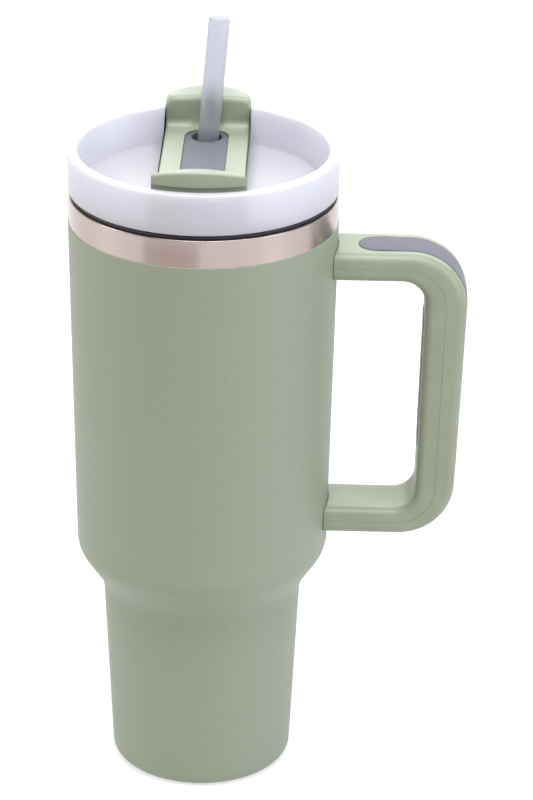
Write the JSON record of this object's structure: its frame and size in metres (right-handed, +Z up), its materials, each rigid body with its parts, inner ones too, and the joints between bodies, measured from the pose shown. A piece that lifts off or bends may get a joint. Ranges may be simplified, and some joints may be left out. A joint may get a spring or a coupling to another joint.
{
  "type": "insulated tumbler",
  "caption": "Tall vacuum-walled steel tumbler with a narrow lower body, side handle, push-in lid, turning cover and straw.",
  "frame": {"origin": "centre of the foot, on the surface that the cup stands on", "axes": "+Z up along the cup's axis, +X towards the handle, +Y from the cover's front tab to its straw hole"},
  "size_m": [0.147, 0.0992, 0.2887],
  "materials": {
    "brushed_steel": "finely brushed around the axis",
    "drawn_steel": "drawn and electropolished",
    "powder_coat": "satin powder coat, sage green",
    "handle_plastic": "satin moulded plastic, sage green",
    "cover_plastic": "satin moulded plastic, pale sage green",
    "soft_grip": "soft-touch grey grip",
    "insert_plastic": "fine matt grey plastic",
    "milky_plastic": "milky translucent plastic",
    "straw_plastic": "milky translucent tube",
    "silicone_dark": "matt silicone, charcoal",
    "silicone_white": "matt silicone, white",
    "solder": "dull sealing glass"
  },
  "bodies": {
    "cup": {"outer_shell": "brushed_steel", "powder_coat": "powder_coat", "inner_liner": "drawn_steel", "base_plate": "drawn_steel", "vacuum_seal": "solder", "getter": "solder", "port_cap": "drawn_steel", "upper_bracket": "drawn_steel", "lower_bracket": "drawn_steel", "handle_outer_half": "handle_plastic", "handle_inner_half": "handle_plastic", "grip_outer": "soft_grip", "grip_inner": "soft_grip", "upper_screw": "drawn_steel", "lower_screw": "drawn_steel", "upper_plug": "handle_plastic", "lower_plug": "handle_plastic"},
    "seal": {"lid_gasket": "silicone_dark"},
    "lid": {"lid_body": "milky_plastic"},
    "cover": {"cover_bar": "cover_plastic", "cover_insert": "insert_plastic", "cover_seal": "silicone_white", "pivot_post": "milky_plastic", "pivot_clip": "drawn_steel", "pivot_oring": "silicone_dark"},
    "straw": {"straw": "straw_plastic"}
  },
  "joints": [
    {"name": "lid_lift", "type": "slide", "parent": "cup", "child": "seal", "axis": [0, 0, 1], "range_m": [0, 0.26]},
    {"name": "lid_turn", "type": "hinge", "parent": "seal", "child": "lid", "pos_m": [0, 0, 0.235], "axis": [0, 0, 1], "continuous": true},
    {"name": "cover_turn", "type": "hinge", "parent": "lid", "child": "cover", "pos_m": [0, 0, 0.235], "axis": [0, 0, 1], "range_deg": [-20, 20]},
    {"name": "straw_pull", "type": "slide", "parent": "cover", "child": "straw", "axis": [0.0844, 0.0608, 0.9946], "range_m": [0, 0.24]}
  ]
}
